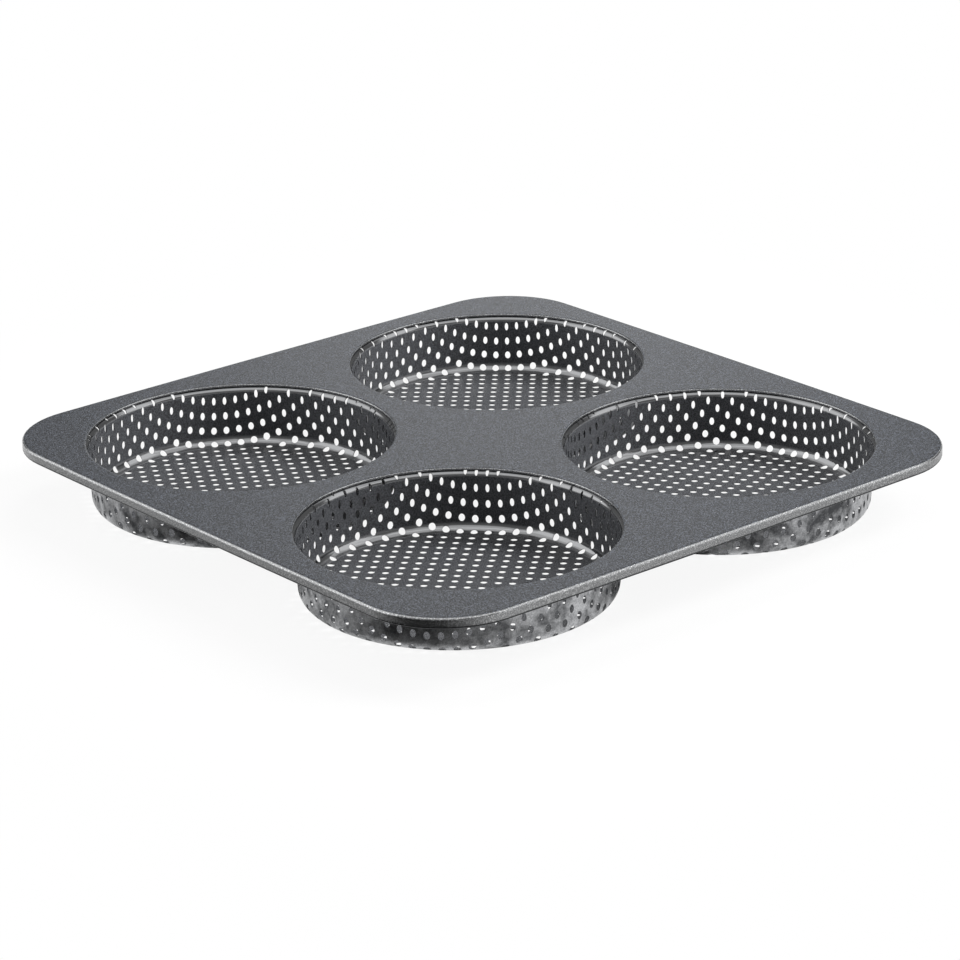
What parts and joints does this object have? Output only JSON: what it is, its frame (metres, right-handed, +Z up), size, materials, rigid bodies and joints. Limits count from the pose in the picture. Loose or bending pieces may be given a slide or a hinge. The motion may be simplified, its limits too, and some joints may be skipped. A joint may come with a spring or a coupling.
{
  "type": "burger bun pan",
  "caption": "Square sheet-metal bun pan: a flat plate with a hemmed skirt carries round perforated cups, each held by a rolled lock seam.",
  "frame": {"origin": "on the table under the middle of the pan, level with the undersides of the cups", "axes": "+Z up out of the cups; +X and +Y along the pan's straight sides, with the front cups at -Y and the left cups at -X"},
  "size_m": [0.284, 0.284, 0.026],
  "materials": {
    "frame_coat": "satin dark grey nonstick coat with a fine fleck",
    "cup_coat": "semi-gloss dark grey nonstick coat, mottled outside where the sheet was drawn"
  },
  "bodies": {
    "root": {"frame_sheet": "frame_coat", "cup_front_left": "cup_coat", "cup_front_right": "cup_coat", "cup_rear_left": "cup_coat", "cup_rear_right": "cup_coat"}
  },
  "joints": []
}
